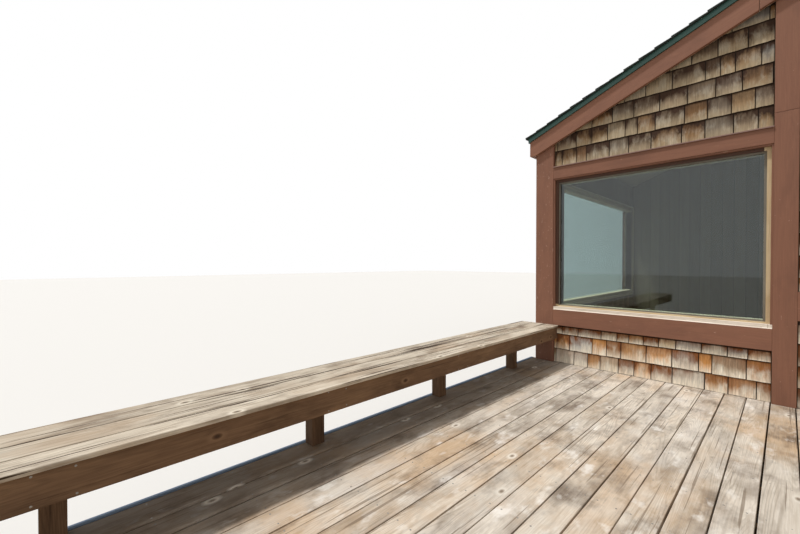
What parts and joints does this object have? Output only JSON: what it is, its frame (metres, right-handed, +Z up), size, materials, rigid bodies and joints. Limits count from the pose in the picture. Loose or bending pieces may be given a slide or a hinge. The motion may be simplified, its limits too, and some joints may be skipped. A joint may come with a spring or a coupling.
{
  "type": "beach house with side deck",
  "caption": "Gable-roofed cedar-shingled beach house with large fixed windows, raised timber deck and a long built-in bench on square posts.",
  "frame": {"origin": "middle of the part's bounding box, on the ground", "axes": "+Y from the deck into the house along the ridge, +X along the end walls from the seaward side to the landward side, +Z up"},
  "size_m": [7.1218, 13.347, 4.8437],
  "materials": {
    "concrete": "cast concrete, grey",
    "floor_wood": "satin varnished boards",
    "wall_lining": "stained boards inside, olive brown, matte",
    "cedar_shingle": "weathered cedar, matte",
    "trim_paint": "reddish brown stain, matte",
    "door_paint": "reddish brown paint, satin",
    "window_wood": "weathered blond wood",
    "casing_paint": "cream paint",
    "glass": "clear, faintly green",
    "ceiling_wood": "pale painted boards",
    "roof_shingle": "mineral surfaced, dark green black",
    "drip_paint": "dark green, satin",
    "deck_wood": "weathered boards",
    "rim_wood": "weathered blue grey",
    "frame_wood": "rough lumber",
    "seat_wood": "weathered boards",
    "bench_wood": "reddish brown lumber"
  },
  "bodies": {
    "root": {"foundation_wall": "concrete", "floor_platform": "floor_wood", "front_wall_base": "wall_lining", "front_wall_piers": "wall_lining", "front_wall_gable": "wall_lining", "back_wall_base": "wall_lining", "back_wall_piers": "wall_lining", "back_wall_gable": "wall_lining", "seaward_wall_base": "wall_lining", "seaward_wall_piers": "wall_lining", "seaward_wall_header": "wall_lining", "landward_wall_base": "wall_lining", "landward_wall_piers": "wall_lining", "landward_wall_header": "wall_lining", "room_divider": "wall_lining", "front_shingles": "cedar_shingle", "back_shingles": "cedar_shingle", "seaward_shingles": "cedar_shingle", "landward_shingles": "cedar_shingle", "corner_boards": "trim_paint", "post_boards": "trim_paint", "head_trims": "trim_paint", "sill_trims": "trim_paint", "belt_boards": "trim_paint", "window_frames": "window_wood", "window_stops": "window_wood", "window_glass": "glass", "interior_casings": "casing_paint", "door_frame": "trim_paint", "door_leaf": "door_paint", "seaward_roof_slope": "ceiling_wood", "landward_roof_slope": "ceiling_wood", "roof_shingles": "roof_shingle", "ridge_cap": "roof_shingle", "rake_fascias": "trim_paint", "eave_fascias": "trim_paint", "drip_edges": "drip_paint", "deck_boards": "deck_wood", "deck_side_rims": "rim_wood", "deck_front_rim": "rim_wood", "deck_joists": "frame_wood", "deck_beams": "frame_wood", "deck_posts": "frame_wood", "pier_blocks": "concrete", "bench_seat": "seat_wood", "bench_aprons": "bench_wood", "bench_bearers": "bench_wood", "bench_posts": "bench_wood"}
  },
  "joints": []
}
